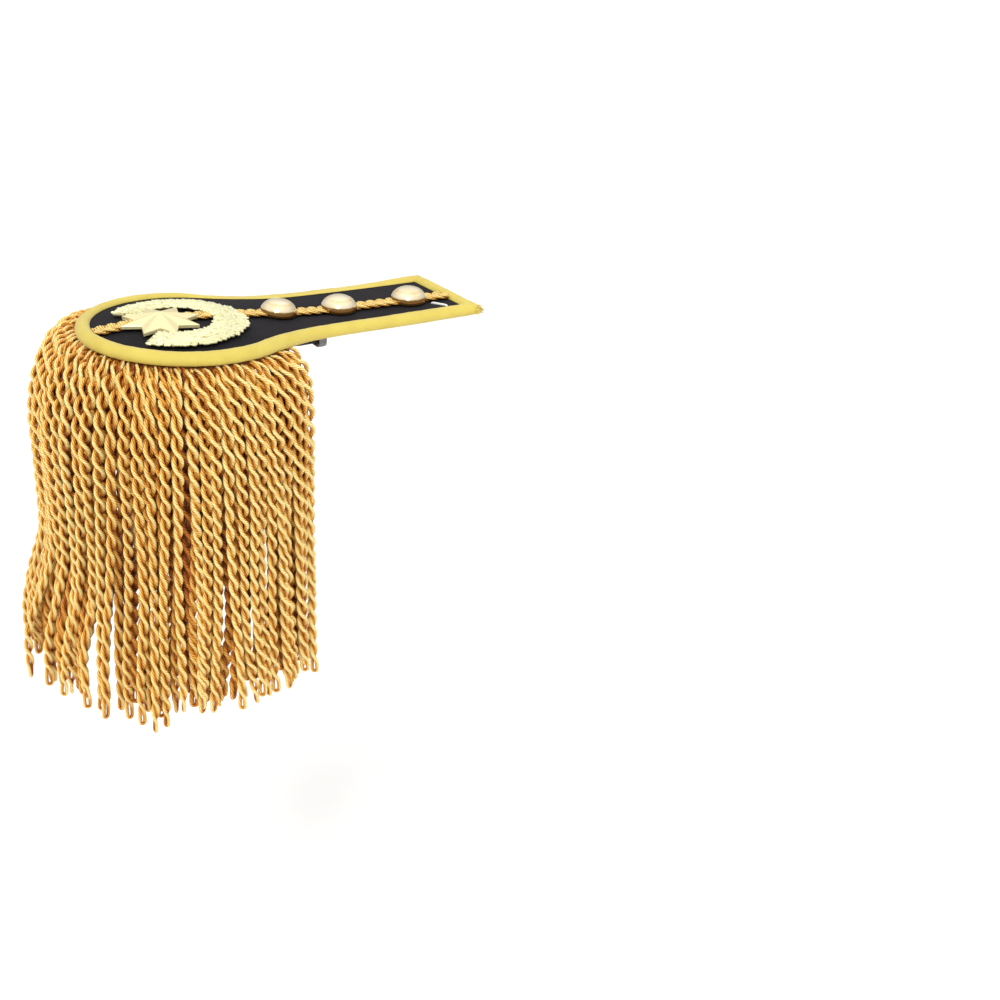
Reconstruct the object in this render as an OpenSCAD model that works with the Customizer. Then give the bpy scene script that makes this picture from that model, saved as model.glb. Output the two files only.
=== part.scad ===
// Bullion epaulette: a padded keyhole board with a rolled binding, a plaited braid, three
// shank buttons, a cast wreath with a star, a hanging cord fringe and a strap with its buckle.
// The origin is the underside of the board at the middle of the round pad. X runs along the
// board to the cut end of the strap, Y to the back, Z up.

/* [Board] */
// Length of the board with its binding, from the round end to the cut end
board_l = 155; // [140:1:170]
// Width of the round pad with its binding
pad_w = 80; // [74:1:88]
// Width of the strap where it leaves the pad
strap_neck_w = 51.6; // [46:0.2:56]
// Width of the strap at its cut end
strap_end_w = 47.4; // [42:0.2:54]
// Radius of the hollow curve between pad and strap
neck_r = 80; // [60:1:100]
// Thickness of the covered board
board_t = 1.6; // [1.2:0.1:3]
// Height of the dome in the middle of the pad
pad_crown = 3.2; // [1:0.1:5]
// Slope of the board in degrees, falling towards the cut end
board_slope = 2.7; // [0:0.1:5]
// Upward curl of the cut end against that slope
end_lift = 1.5; // [0:0.1:4]

/* [Binding] */
// Width of the binding that shows on top
binding_w = 5.6; // [4:0.1:7]
// Height of the padded roll above the cloth
roll_h = 1.9; // [1:0.1:3]
// Height of the roll at the back of the strap, as a share of the height elsewhere
back_roll = 0.35; // [0.2:0.05:1]
// Thickness of the binding below the board
lip_t = 0.8; // [0.5:0.1:2]
// Depth of fabric outside the board's own edge
wrap_t = 1.25; // [0.8:0.05:2]

/* [Braid] */
// Width of the plaited braid
braid_w = 5.4; // [3:0.1:6]
// Thickness of the plaited braid
braid_t = 0.9; // [0.6:0.1:1.6]
// How far the braid wanders to the front by the cut end
braid_drift = 5.3; // [0:0.1:7]

/* [Buttons] */
// Diameter of a button
button_d = 14.2; // [10:0.1:15]
// Height of a button above the braid
button_h = 5.2; // [3:0.1:6]
// Diameter of a button's foot
foot_d = 8.6; // [6:0.1:9]
// Distance from the pad's middle to the first button
first_button_x = 37.2; // [34:0.1:42]
// Distance between the first and the second button
second_step = 25.4; // [20:0.1:26]
// Distance between the second and the third button
third_step = 30.4; // [20:0.1:31]

/* [Medallion] */
// Outer diameter of the wreath
wreath_d = 52; // [44:0.5:54]
// Width of the wreath at its closed end
wreath_band = 12; // [10:0.1:14]
// Angle of the wreath's opening
wreath_open = 88; // [60:1:100]
// Leaves in the outer row
outer_leaves = 18; // [14:1:22]
// Leaves in the inner row
inner_leaves = 13; // [10:1:16]
// Thickness of the cast plate
plate_t = 0.9; // [0.6:0.1:1.5]
// Height of a leaf's rib above the plate
leaf_h = 1.3; // [0.6:0.1:2]
// How far the star's reach passes the wreath's inner edge
star_lap = 1.2; // [0.5:0.1:4]
// Points of the star
star_points = 8; // [5:1:10]
// Height of the star's peak above the plate
star_h = 3.2; // [2:0.1:6]
// Offset of the star from the wreath's middle, towards the opening
star_shift = 6.3; // [4:0.1:10]

/* [Fringe] */
// Fall of the longest cords below the pad's rim
fringe_drop = 137; // [90:1:150]
// How far the fringe stands out from the pad at the round end
flare_end = 17.5; // [10:0.5:24]
// How far the fringe stands out from the pad beside the neck
flare_neck = 10; // [8:0.5:18]
// Angle between the strap's middle line and the first cord
neck_stop = 43; // [38:1:55]
// Height over which the cords bend down
bend_h = 32; // [20:1:40]
// Locks of cord side by side
locks = 32; // [20:1:36]
// Thickness of a lock
lock_t = 4.2; // [3:0.1:5]
// Thickness of the inner layer of cords behind the locks
backing_t = 2.6; // [1.6:0.1:4]

/* [Strap and buckle] */
// Width of the webbing under the board
webbing_w = 20; // [16:0.5:24]
// Thickness of the webbing
webbing_t = 1.6; // [1:0.1:2.4]
// Place of the webbing's sewn end, from the pad's middle
webbing_x = 6; // [4:0.5:12]
// Length of the sewn end
webbing_sewn = 12; // [8:0.5:16]
// Length of the level webbing before the buckle
webbing_level = 10; // [6:0.5:14]
// Place of the buckle, from the pad's middle
buckle_x = 51.5; // [46:0.5:58]
// Length of the buckle along the strap
buckle_l = 3.7; // [3:0.1:6]
// Drop of the buckle below the board
buckle_drop = 9.5; // [7:0.1:11]
// Wall of the buckle
buckle_wall = 1.4; // [1:0.1:1.8]

/* [Hidden] */
$fn = 48;

gap = 0.15;             // clearance between neighbouring pieces
pad_steps = 14;         // facets from the round end to the hollow curve
curve_steps = 5;
strap_steps = 4;
across_steps = 8;

pad_r = pad_w / 2;
end_x = board_l - pad_r;
taper = (strap_end_w - strap_neck_w) / 2 / (end_x - pad_r);
side_y = strap_neck_w / 2 - taper * pad_r;
side_len = sqrt(1 + taper * taper);

// Middle of the hollow curve, tangent to the pad's circle and to the strap's side
hollow_k = neck_r * side_len + side_y;
hollow_b = 2 * hollow_k * taper;
hollow_c = hollow_k * hollow_k - pow(pad_r + neck_r, 2);
hollow_x = (sqrt(hollow_b * hollow_b - 4 * side_len * side_len * hollow_c) - hollow_b)
    / (2 * side_len * side_len);
hollow_y = hollow_k + taper * hollow_x;
join_a = atan2(hollow_y, hollow_x);
join_x = pad_r * cos(join_a);
side_x = hollow_x + neck_r * taper / side_len;
side_start_a = atan2(-1, taper);
hollow_start_a = join_a - 180;

// Each station is a point of the outer edge and the direction in which a unit of inset moves it
pad_edge = [for (i = [0 : pad_steps])
    let (a = 180 - i * (180 - join_a) / pad_steps)
    [[pad_r * cos(a), pad_r * sin(a)], [-cos(a), -sin(a)]]];
curve_edge = [for (i = [1 : curve_steps])
    let (a = hollow_start_a + i * (side_start_a - hollow_start_a) / curve_steps)
    [[hollow_x + neck_r * cos(a), hollow_y + neck_r * sin(a)], [cos(a), sin(a)]]];
strap_edge = [for (i = [1 : strap_steps - 1])
    let (x = side_x + i * (end_x - side_x) / strap_steps)
    [[x, side_y + taper * x], [taper / side_len, -1 / side_len]]];
corner = [[[end_x, strap_end_w / 2], [-1, -taper - side_len]]];
half_edge = concat(pad_edge, curve_edge, strap_edge, corner);
last = len(half_edge) - 1;

function inset(station, d) = station[0] + station[1] * d;
function smooth(t) = let (c = min(1, max(0, t))) c * c * (3 - 2 * c);

// Half width of the board at x, and the height of its top at x and y
function half_w(x) = x < join_x ? sqrt(max(0.01, pad_r * pad_r - x * x))
    : x < side_x ? hollow_y - sqrt(neck_r * neck_r - pow(x - hollow_x, 2))
    : side_y + taper * x;
function spine(x) = -tan(board_slope) * x
    + end_lift * pow(max(0, (x - pad_r / 2) / (end_x - pad_r / 2)), 2);
function rise(x, y) = x < 0 ? pad_crown * max(0, 1 - (x * x + y * y) / (pad_r * pad_r))
    : pad_crown * (1 - smooth(x / (1.5 * pad_r))) * max(0, 1 - pow(y / half_w(x), 2));
function top(x, y) = board_t - pad_crown + spine(x) + rise(x, y);
rim_z = board_t - pad_crown;

// Closed body through rings of points, each ring running out along one side and back along
// the other; a closed loop joins the last ring to the first
module loft(rings, loop = false) {
    n = len(rings[0]);
    m = len(rings);
    sides = [for (j = [0 : m - (loop ? 1 : 2)]) for (i = [0 : n - 1])
        let (a = j * n, b = ((j + 1) % m) * n, k = (i + 1) % n)
        [a + i, b + i, b + k, a + k]];
    first_cap = [for (i = [0 : n / 2 - 2]) [i, i + 1, n - 2 - i, n - 1 - i]];
    last_cap = [for (face = first_cap) [for (k = [3 : -1 : 0]) face[k] + (m - 1) * n]];
    polyhedron(points = [for (r = rings) each r],
        faces = loop ? sides : concat(first_cap, sides, last_cap), convexity = 10);
}

// Board
board_inset = wrap_t + gap;

function board_ring(p) = concat(
    [for (j = [0 : across_steps])
        let (y = p.y * (1 - 2 * j / across_steps)) [p.x, y, top(p.x, y)]],
    [for (j = [across_steps : -1 : 0])
        let (y = p.y * (1 - 2 * j / across_steps)) [p.x, y, top(p.x, y) - board_t]]);

module board() {
    color("#2d2b30")
    loft([for (i = [1 : last]) board_ring(inset(half_edge[i], board_inset))]);
}

// Binding, a padded fold around the board's edge; each corner is [inset, height]
binding_fold = [
    [0, -board_t / 2],
    [0.06 * binding_w, 0.22 * roll_h],
    [0.25 * binding_w, 0.8 * roll_h],
    [0.5 * binding_w, roll_h],
    [0.77 * binding_w, 0.8 * roll_h],
    [0.95 * binding_w, 0.4 * roll_h],
    [binding_w, gap],
    [wrap_t, gap],
    [wrap_t, -board_t - gap],
    [0.82 * binding_w, -board_t - gap],
    [0.64 * binding_w, -board_t - gap - 0.9 * lip_t],
    [0.3 * binding_w, -board_t - gap - lip_t],
    [0.07 * binding_w, -board_t - gap - 0.45 * lip_t]];

// The roll lies flatter along the back of the strap
function press(x, side) = side < 0 ? 1
    : 1 - (1 - back_roll) * smooth(x / pad_r) * smooth((end_x - x) / pad_r);
function fold_ring(station, side) = [for (c = binding_fold)
    let (p = inset(station, c[0]), share = c[1] > gap ? press(station[0].x, side) : 1)
    [p.x, side * p.y, top(p.x, p.y) + share * c[1]]];

module binding() {
    color("#f4d95c")
    loft(concat([for (i = [0 : last]) fold_ring(half_edge[i], 1)],
        [for (i = [last : -1 : 1]) fold_ring(half_edge[i], -1)]), loop = true);
}

// Braid
braid_steps = 36;
braid_start = binding_w + 2 * gap - pad_r;
braid_stop = end_x - binding_w - 2 * gap;
// Half of the braid's rounded section: [share of the half width, share of the thickness]
braid_section = [[1, 0], [0.92, 0.62], [0.5, 1]];

function braid_y(x) = -braid_drift * (x + pad_r) / board_l;
function braid_ring(x) = concat(
    [for (s = braid_section) let (y = braid_y(x) + s[0] * braid_w / 2)
        [x, y, top(x, y) + gap + s[1] * braid_t]],
    [for (k = [2 : -1 : 0]) let (s = braid_section[k], y = braid_y(x) - s[0] * braid_w / 2)
        [x, y, top(x, y) + gap + s[1] * braid_t]]);

module centre_braid() {
    color("#e6aa3c")
    loft([for (i = [0 : braid_steps])
        braid_ring(braid_start + i * (braid_stop - braid_start) / braid_steps)]);
}

// Buttons; the profile holds [share of the radius, share of the height]
button_seat = 2 * gap + braid_t;
button_profile = [[0.94, 0.03], [1, 0.09], [0.99, 0.22], [0.92, 0.44], [0.78, 0.68],
    [0.58, 0.86], [0.3, 0.97], [0, 1]];
button_x = [first_button_x, first_button_x + second_step,
    first_button_x + second_step + third_step];

module button(x) {
    foot_r = foot_d / 2;
    y = braid_y(x);
    slope = atan((top(x - foot_r, y) - top(x + foot_r, y)) / foot_d);
    color("#f0dcb4")
    translate([x, y, top(x, y) + button_seat])
    rotate([0, slope, 0])
    rotate_extrude()
    polygon(concat([[0, 0], [foot_r, 0]],
        [for (c = button_profile) [c[0] * button_d / 2, c[1] * button_h]]));
}

// Medallion
wreath_r = wreath_d / 2;
medal_x = -4.7;
medal_y = braid_y(medal_x) - 3;
medal_seat = braid_t + 2 * gap;
arc_half = 180 - wreath_open / 2;
wreath_steps = 22;
band_taper = 0.34;      // share of the band's width that is lost towards the open ends
plate_out = 0.11 * wreath_band;     // how far the leaf tips pass the plate outside
plate_in = 0.06 * wreath_band;      // and inside
rib_w = 0.3;
leaf_lift = 0.5 * plate_t;          // height of a leaf's underside above the plate's
// Rows of leaves: [number, place across the band, lean in degrees, length, width],
// the last two as shares of the wreath's radius
leaf_rows = [[outer_leaves, 0.24, 34, 0.36, 0.2], [inner_leaves, 0.7, -20, 0.36, 0.22]];
star_r = wreath_r - wreath_band + star_lap;     // from the star's middle to a point
star_waist = 0.62;      // share of the star's reach at its inner corners
star_wall = 1.3;        // height of the star's edge
bridge_w = 3;           // bar behind the star that carries it on the wreath
bridge_half = 0.72 * wreath_r;
bridge_steps = 8;
bridge_span = [0.1, 0.8];           // its underside and top, as shares of the plate's thickness

function medal_z(x, y) = top(medal_x + x, medal_y + y) + medal_seat;
function band_at(a) = wreath_band * (1 - band_taper * pow(abs(a) / arc_half, 2));
function wreath_ring(a) = [for (c = [[1, 0], [1, 1], [0, 1], [0, 0]])
    let (r = wreath_r - plate_out - c[0] * (band_at(a) - plate_out - plate_in),
        x = r * cos(a), y = r * sin(a))
    [x, y, medal_z(x, y) + c[1] * plate_t]];

// One leaf lying at angle a, its tip turned away from the closed end
module leaf(a, r, lean, length, width) {
    x = r * cos(a);
    y = r * sin(a);
    side = a < 0 ? -1 : 1;
    translate([x, y, medal_z(x, y) + leaf_lift])
    rotate([0, 0, a + side * (90 - lean)])
    hull() {
        linear_extrude(plate_t - leaf_lift)
        polygon([[-0.5 * length, 0], [-0.1 * length, width / 2], [0.5 * length, 0],
            [-0.1 * length, -width / 2]]);
        translate([-0.4 * length, -rib_w / 2, 0])
        cube([0.7 * length, rib_w, plate_t - leaf_lift + leaf_h]);
    }
}

module leaf_row(row) {
    for (i = [0 : row[0] - 1])
        let (a = arc_half * (2 * (i + 0.5) / row[0] - 1))
        leaf(a, wreath_r - row[1] * band_at(a), row[2], row[3] * wreath_r, row[4] * wreath_r);
}

function star_corner(k) = let (
    a = 180 * k / star_points,
    r = star_r * (k % 2 == 0 ? 1 : star_waist))
    [r * cos(a) - star_shift, r * sin(a)];

module star() {
    m = 2 * star_points;
    rim = [for (k = [0 : m - 1]) star_corner(k)];
    edge = [for (p = rim) medal_z(p.x, p.y)];
    base_z = medal_z(-star_shift, 0);
    points = concat([for (k = [0 : m - 1]) [rim[k].x, rim[k].y, edge[k]]],
        [for (k = [0 : m - 1]) [rim[k].x, rim[k].y, edge[k] + star_wall]],
        [[-star_shift, 0, base_z], [-star_shift, 0, base_z + plate_t + star_h]]);
    faces = [for (k = [0 : m - 1]) let (n = (k + 1) % m)
        each [[2 * m, k, n], [k, k + m, n + m, n], [k + m, 2 * m + 1, n + m]]];
    polyhedron(points = points, faces = faces, convexity = 6);
}

function bridge_ring(y) = [for (c = [[-1, 0], [-1, 1], [1, 1], [1, 0]])
    let (x = c[0] * bridge_w / 2 - star_shift)
    [x, y, medal_z(x, y) + bridge_span[c[1]] * plate_t]];

module medallion() {
    color("#efe8bd")
    translate([medal_x, medal_y, 0])
    union() {
        loft([for (i = [0 : wreath_steps])
            wreath_ring(arc_half * (2 * i / wreath_steps - 1))]);
        for (row = leaf_rows)
            leaf_row(row);
        star();
        loft([for (i = [0 : bridge_steps])
            bridge_ring(bridge_half * (2 * i / bridge_steps - 1))]);
    }
}

// Fringe
head_in = 7;            // inset of the heading tape's inner edge
head_out = 1.4;         // inset of its outer edge
head_t = 2.8;
head_z = -board_t - 2 * gap - lip_t;
arc_span = 360 - 2 * neck_stop;
lock_step = arc_span / locks;
lock_share = 0.86;      // width of a lock as a share of its pitch
backing_inset = 0.1;    // depth of the inner layer's face below a lock's middle, in lock_t
tip_spread = 3;         // unevenness of the tips' heights
tip_rise = 4;           // how much shorter the cords at the sides are
tip_stray = 0.8;        // how far a tip strays outwards or inwards
sway = 2.6;             // slow sideways sway of the tips, and a quicker one
ripple = 1.4;

function pad_point(a, r) = [r * cos(a), r * sin(a)];
function head_top(a) = let (p = pad_point(a, pad_r)) top(p.x, p.y) + head_z;

// How far the cords stand out at angle a, and the height of the tip of lock k
function flare(a) = (flare_end + flare_neck) / 2 - (flare_end - flare_neck) / 2 * cos(a);
function tip_z(a, k) = rim_z - fringe_drop + tip_spread * abs(sin(97 * k))
    + tip_rise * pow(sin(a), 2);

// Point of a cord's middle line, moved outwards by off and sideways by across; t runs from 0 at
// the head over 1 at the foot of the bend to 2 at the tip
function cord_point(a, t, k, off = 0, across = 0) = let (
    b = 90 * min(t, 1),
    s = max(0, t - 1),
    r0 = pad_r - head_in / 2,
    z0 = head_top(a) - head_t / 2,
    r = r0 + (pad_r + flare(a) - r0) * sin(b) + off * sin(b) + s * tip_stray * sin(139 * k),
    side = s * (sway * sin(5 * a + 20) + ripple * sin(11 * a + 120 * s)) + across,
    z = z0 - bend_h * (1 - cos(b)) + s * (tip_z(a, k) - z0 + bend_h) + off * cos(b))
    [r * cos(a) - side * sin(a), r * sin(a) + side * cos(a), z];

// Section of a lock: [share of the width, share of the thickness]
lock_section = [[0.5, 0], [0.27, 0.5], [-0.27, 0.5], [-0.5, 0], [-0.27, -0.5], [0.27, -0.5]];
lock_stops = [0, 0.3, 0.55, 0.78, 1, 1.35, 1.7, 1.94, 2];
function lock_size(t) = t < 0.05 ? 0.5 : t > 1.99 ? 0.35 : t > 1.93 ? 0.85 : 1;

function lock_ring(a, t, k) = let (
    g = lock_size(t),
    reach = norm(cord_point(a, t, k) - [0, 0, cord_point(a, t, k).z]),
    width = lock_share * lock_step * PI / 180 * reach)
    [for (s = lock_section) cord_point(a, t, k, s[1] * lock_t * g, s[0] * width * g)];

module lock(k) {
    a = neck_stop + (k + 0.5) * lock_step;
    loft([for (t = lock_stops) lock_ring(a, t, k)]);
}

// The heading tape and the inner layer of cords are one folded wall behind the locks
backing_stops = [0.3, 0.55, 0.78, 1, 1.4, 1.8];
backing_face = -backing_inset * lock_t;

function head_corner(a, inset, z) = let (p = pad_point(a, pad_r - inset))
    [p.x, p.y, head_top(a) + z];
function backing_ring(a) = concat(
    [head_corner(a, head_in, 0), head_corner(a, head_out, 0)],
    [for (t = backing_stops) cord_point(a, t, 0, backing_face)],
    [for (k = [len(backing_stops) - 1 : -1 : 0])
        cord_point(a, backing_stops[k], 0, backing_face - backing_t)],
    [cord_point(a, 0.05, 0, backing_face - backing_t), head_corner(a, head_in, -head_t)]);

module fringe() {
    color("#e0a850")
    union() {
        loft([for (i = [0 : locks]) backing_ring(neck_stop + i * lock_step)]);
        for (k = [0 : locks - 1])
            lock(k);
    }
}

// Webbing and buckle
buckle_inner_w = webbing_w + 4 * gap;
buckle_outer_w = buckle_inner_w + 2 * buckle_wall;
buckle_top = top(buckle_x + buckle_l / 2, buckle_outer_w / 2) - board_t - gap;
webbing_end_z = buckle_top - buckle_drop + buckle_wall + gap + webbing_t;

function webbing_top(x) = top(x, webbing_w / 2) - board_t - gap;

module under_strap() {
    sewn_end = webbing_x + webbing_sewn;
    line = [[webbing_x, webbing_top(webbing_x)], [sewn_end, webbing_top(sewn_end) - gap],
        [buckle_x - buckle_l / 2 - webbing_level, webbing_end_z],
        [buckle_x + buckle_l / 2, webbing_end_z]];
    color("#26262b")
    translate([0, webbing_w / 2, 0])
    rotate([90, 0, 0])
    linear_extrude(webbing_w)
    polygon(concat(line, [for (i = [3 : -1 : 0]) line[i] - [0, webbing_t]]));
}

module rounded_plate(width, height, radius, depth) {
    linear_extrude(depth)
    union() {
        translate([-width / 2, radius])
        square([width, height - radius]);
        translate([radius - width / 2, 0])
        square([width - 2 * radius, height]);
        for (side = [-1, 1])
            translate([side * (width / 2 - radius), radius])
            circle(radius);
    }
}

module buckle() {
    color("#8a8a88")
    translate([buckle_x + buckle_l / 2, 0, buckle_top - buckle_drop])
    rotate([90, 0, -90])
    difference() {
        rounded_plate(buckle_outer_w, buckle_drop, 1.6 * buckle_wall, buckle_l);
        translate([-buckle_inner_w / 2, buckle_wall, -gap])
        cube([buckle_inner_w, buckle_drop - 2 * buckle_wall, buckle_l + 2 * gap]);
    }
}

board();
binding();
centre_braid();
button(button_x[0]);  // button_1
button(button_x[1]);  // button_2
button(button_x[2]);  // button_3
medallion();
fringe();
under_strap();
buckle();
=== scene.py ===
# Bullion epaulette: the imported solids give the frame, and the pieces here give its looks.
# Metres; X runs to the cut end of the strap, Y to the back, Z up.
import math
import bpy
import numpy as np
from mathutils import Matrix, Vector


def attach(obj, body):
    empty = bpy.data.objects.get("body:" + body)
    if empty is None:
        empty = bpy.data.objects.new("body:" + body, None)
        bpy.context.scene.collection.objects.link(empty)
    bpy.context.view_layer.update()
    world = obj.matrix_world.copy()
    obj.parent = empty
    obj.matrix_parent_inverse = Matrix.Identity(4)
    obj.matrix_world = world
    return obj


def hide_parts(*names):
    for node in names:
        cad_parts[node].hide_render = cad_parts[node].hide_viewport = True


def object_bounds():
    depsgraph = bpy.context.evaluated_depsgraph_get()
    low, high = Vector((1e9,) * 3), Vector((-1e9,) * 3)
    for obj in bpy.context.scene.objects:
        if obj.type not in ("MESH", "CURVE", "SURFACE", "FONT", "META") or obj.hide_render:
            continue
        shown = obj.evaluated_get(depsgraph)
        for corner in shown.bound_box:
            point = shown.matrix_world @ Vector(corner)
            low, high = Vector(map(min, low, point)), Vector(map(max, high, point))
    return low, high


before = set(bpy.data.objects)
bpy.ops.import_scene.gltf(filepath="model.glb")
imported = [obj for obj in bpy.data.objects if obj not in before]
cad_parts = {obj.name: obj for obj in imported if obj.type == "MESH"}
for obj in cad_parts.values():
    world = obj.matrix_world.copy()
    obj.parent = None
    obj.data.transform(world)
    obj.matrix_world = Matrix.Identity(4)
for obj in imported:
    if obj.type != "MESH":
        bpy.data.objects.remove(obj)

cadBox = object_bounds()
mm = 0.001
rng = np.random.default_rng(4250)     # everything that varies by chance is drawn from it, in order


# A small way to write shaders: a Wire is a socket that can be added, multiplied and so on
class Wire:
    def __init__(self, nodes, socket):
        self.nodes = nodes
        self.socket = socket

    def maths(self, operation, first, second):
        return self.nodes.wire("ShaderNodeMath", {"operation": operation}, {0: first, 1: second})

    def __add__(self, other):
        return self.maths("ADD", self, other)

    __radd__ = __add__

    def __sub__(self, other):
        return self.maths("SUBTRACT", self, other)

    def __rsub__(self, other):
        return self.maths("SUBTRACT", other, self)

    def __mul__(self, other):
        return self.maths("MULTIPLY", self, other)

    __rmul__ = __mul__


def setStops(ramp, stops):
    while len(ramp.elements) > 1:
        ramp.elements.remove(ramp.elements[-1])
    for index, (place, colour) in enumerate(stops):
        element = ramp.elements[0] if index == 0 else ramp.elements.new(place)
        element.position = place
        element.color = (*colour, 1)


# The nodes of a material or of the world
class Nodes:
    def __init__(self, owner):
        self.owner = owner
        owner.use_nodes = True
        self.tree = owner.node_tree
        self.tree.nodes.clear()

    # Adds a node: its settings are set first, then the values or links of its sockets
    def node(self, kind, settings=None, sockets=None):
        node = self.tree.nodes.new(kind)
        for key, value in (settings or {}).items():
            if key == "stops":
                setStops(node.color_ramp, value)
            else:
                setattr(node, key, value)
        for key, value in (sockets or {}).items():
            socket = node.inputs[key]
            if isinstance(value, Wire):
                self.tree.links.new(value.socket, socket)
            else:
                socket.default_value = value
        return node

    def wire(self, kind, settings=None, sockets=None, output=0):
        return Wire(self, self.node(kind, settings, sockets).outputs[output])

    def ramp(self, value, stops):
        return self.wire("ShaderNodeValToRGB", {"stops": stops}, {0: value})

    def spread(self, value, low, high):
        return self.wire("ShaderNodeMapRange", {"clamp": True},
                         {"Value": value, "From Min": low, "From Max": high})

    # Ends the tree with its shader, and returns what the tree belongs to
    def close(self, shader, output, sockets):
        self.node(output, None, {0: self.wire(shader, None, sockets)})
        return self.owner


class Finish(Nodes):
    def __init__(self, name):
        super().__init__(bpy.data.materials.new(name))

    def noise(self, place, scale, detail=3.0, roughness=0.5):
        return self.wire("ShaderNodeTexNoise", None,
                         {"Vector": place, "Scale": scale, "Detail": detail, "Roughness": roughness})

    def attribute(self, name):
        return self.wire("ShaderNodeAttribute", {"attribute_name": name}, None, 2)

    def objectPlace(self):
        return self.wire("ShaderNodeTexCoord", None, None, 3)

    def uvParts(self):
        uv = self.wire("ShaderNodeUVMap", {"uv_map": "thread"})
        parts = self.node("ShaderNodeSeparateXYZ", None, {0: uv})
        return Wire(self, parts.outputs[0]), Wire(self, parts.outputs[1])

    def sine(self, value):
        return self.wire("ShaderNodeMath", {"operation": "SINE"}, {0: value})

    def combine(self, x, y, z=0.0):
        return self.wire("ShaderNodeCombineXYZ", None, {0: x, 1: y, 2: z})

    def bump(self, height, distance):
        return self.wire("ShaderNodeBump", None, {"Height": height, "Distance": distance, "Strength": 1.0})

    def surface(self, sockets):
        return self.close("ShaderNodeBsdfPrincipled", "ShaderNodeOutputMaterial", sockets)


# Points and four-sided faces gathered for one piece, with values that its finish reads
class Shape:
    def __init__(self):
        self.points = []
        self.quads = []
        self.uvs = []
        self.values = {}
        self.count = 0

    # rings has one row of points per ring, and the last point of a ring joins the first
    def addRings(self, rings, alongClosed=False, caps=False, along=None, values=None):
        rings = np.asarray(rings, float)
        rows, cols = rings.shape[:2]
        if along is None:
            middle = rings.mean(axis=1)
            steps = np.linalg.norm(np.diff(middle, axis=0), axis=1)
            along = np.concatenate([[0], np.cumsum(steps)])
        along = np.append(along, 2 * along[-1] - along[-2])
        i, j = np.meshgrid(np.arange(rows if alongClosed else rows - 1), np.arange(cols), indexing="ij")
        i, j = i.ravel(), j.ravel()
        iNext, jNext = (i + 1) % rows, (j + 1) % cols
        quads = np.stack([i * cols + j, i * cols + jNext, iNext * cols + jNext, iNext * cols + j], 1)
        corners = [(j, i), (j + 1, i), (j + 1, i + 1), (j, i + 1)]
        uvs = np.stack([np.stack([across / cols, along[row]], 1) for across, row in corners], 1)
        if caps:
            half = np.arange(cols // 2 - 1)
            first = np.stack([half, cols - 1 - half, cols - 2 - half, half + 1], 1)
            last = first[:, ::-1] + (rows - 1) * cols
            quads = np.concatenate([quads, first, last])
            uvs = np.concatenate([uvs, np.zeros((2 * len(half), 4, 2))])
        self.points.append(rings.reshape(-1, 3))
        self.quads.append(quads + self.count)
        self.uvs.append(uvs)
        for name, value in (values or {}).items():
            full = np.broadcast_to(np.asarray(value, float), (rows, cols))
            self.values.setdefault(name, []).append(full.ravel())
        self.count += rows * cols

    def build(self, name, material, slot, nodes=(), smooth=True):
        mesh = bpy.data.meshes.new(name)
        mesh.from_pydata(np.concatenate(self.points), [], np.concatenate(self.quads))
        layer = mesh.uv_layers.new(name="thread")
        layer.data.foreach_set("uv", np.concatenate(self.uvs).ravel().astype(np.float32))
        for key, parts in self.values.items():
            attribute = mesh.attributes.new(key, "FLOAT", "POINT")
            attribute.data.foreach_set("value", np.concatenate(parts).astype(np.float32))
        mesh.polygons.foreach_set("use_smooth", [smooth] * len(mesh.polygons))
        mesh.materials.append(material)
        mesh.validate()
        piece = bpy.data.objects.new(name, mesh)
        bpy.context.scene.collection.objects.link(piece)
        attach(piece, "root")
        if nodes:
            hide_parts(*nodes)
        print(name, len(mesh.vertices), "points")
        return piece


def smoothStep(t):
    t = np.clip(t, 0, 1)
    return t * t * (3 - 2 * t)


# 1 at the place itself, fading to nothing a few widths away
def bell(away, width):
    return np.exp(-(away / width) ** 2)


def unit(rows):
    return rows / np.linalg.norm(rows, axis=1, keepdims=True)


def roundAngles(sides):
    return np.arange(sides) * 2 * math.pi / sides


# Rounds the edges that bend by more than so many degrees
def softEdge(piece, width, degrees):
    edge = piece.modifiers.new("softEdge", "BEVEL")
    edge.width = width
    edge.segments = 3
    edge.limit_method = "ANGLE"
    edge.angle_limit = math.radians(degrees)


# A tube along points, with outward as the side that faces away from the cord's own middle
def tubeRings(points, outward, radius, sides, flat=1.0):
    points = np.asarray(points, float)
    tangent = unit(np.gradient(points, axis=0))
    first = unit(outward - (outward * tangent).sum(1, keepdims=True) * tangent)
    second = np.cross(tangent, first)
    angle = roundAngles(sides)[None, :, None]
    radius = np.broadcast_to(np.asarray(radius, float), (len(points),))[:, None, None]
    ring = first[:, None] * np.cos(angle) * flat + second[:, None] * np.sin(angle)
    return points[:, None] + radius * ring


# Camera, floor and light
camera = {"padMiddle": (0, 0, -1.6 * mm), "distance": 0.6, "turn": 22.42, "elevation": 18.5,
          "yaw": 6.04, "pitch": 19.87, "lens": 58.35, "shift": (0.153, -0.1374)}


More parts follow.
